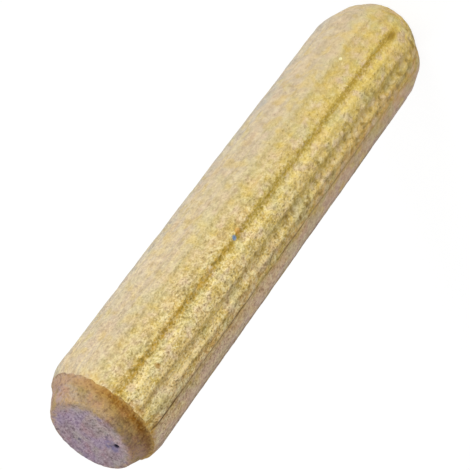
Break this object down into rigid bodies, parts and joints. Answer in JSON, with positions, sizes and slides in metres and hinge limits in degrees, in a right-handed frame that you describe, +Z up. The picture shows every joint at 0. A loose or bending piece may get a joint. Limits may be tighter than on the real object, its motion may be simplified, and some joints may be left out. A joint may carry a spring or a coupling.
{
  "type": "dowel pin",
  "caption": "Short round hardwood rod with shallow flutes along its side and a bevel at each end, for joining two boards.",
  "frame": {"origin": "centre of the bottom end's flat face, on the surface that the pin stands on", "axes": "+Z up along the rod; X and Y across it, with the flutes placed by their angle from +X"},
  "size_m": [0.008, 0.008, 0.04],
  "materials": {
    "beech": "bare, dry and uncoated, with pressed fibres along the flutes and sawn end grain"
  },
  "bodies": {
    "root": {"dowel_pin": "beech"}
  },
  "joints": []
}
